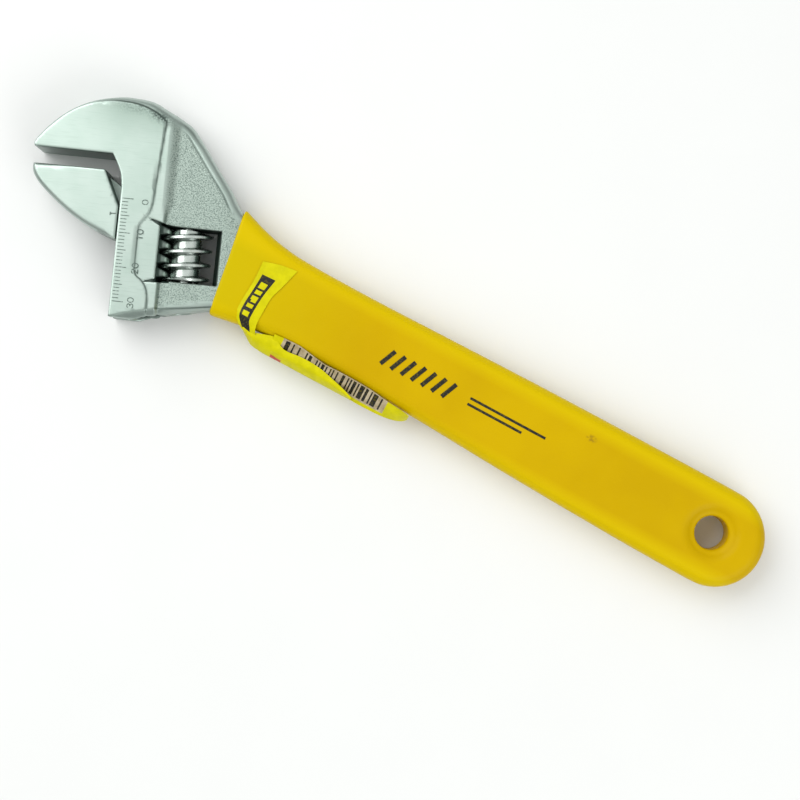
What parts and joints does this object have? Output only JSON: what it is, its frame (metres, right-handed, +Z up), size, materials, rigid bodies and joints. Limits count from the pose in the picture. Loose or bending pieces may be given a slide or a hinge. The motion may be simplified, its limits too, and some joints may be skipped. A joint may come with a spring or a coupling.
{
  "type": "adjustable wrench",
  "caption": "Adjustable wrench with an angled head, a worm-driven sliding jaw, a mm scale and a dipped vinyl grip with a hang hole.",
  "frame": {"origin": "bottom centre of the bounding box, level with the ground face that the wrench lies on", "axes": "+X along the handle from the head to the hang hole, +Y towards the fixed jaw's side, +Z up, square to the ground faces"},
  "size_m": [0.2464, 0.0622, 0.0155],
  "materials": {
    "satin_chrome": "satin, ground faces smooth and the forged web blasted",
    "worm_steel": "machined, lightly brushed",
    "spring_steel": "drawn wire",
    "yellow_vinyl": "dipped vinyl, semi-gloss",
    "sticker_paper": "coated paper sticker"
  },
  "bodies": {
    "frame": {"wrench_body": "satin_chrome", "worm_pin": "worm_steel", "worm_spring": "spring_steel", "grip": "yellow_vinyl", "label": "sticker_paper"},
    "worm": {"adjusting_worm": "worm_steel"},
    "jaw": {"movable_jaw": "satin_chrome"}
  },
  "joints": [
    {"name": "worm_spin", "type": "hinge", "parent": "frame", "child": "worm", "pos_m": [-0.06887, -0.00469, 0.00775], "axis": [-0.3827, 0.9239, 0], "range_deg": [-403.5, 2161]},
    {"name": "jaw_slide", "type": "slide", "parent": "frame", "child": "jaw", "axis": [0.3827, -0.9239, 0], "range_m": [-0.0047, 0.0252]}
  ],
  "couplings": [
    {"joint": "worm_spin", "follows": "jaw_slide", "rad_per_m": 1496}
  ]
}
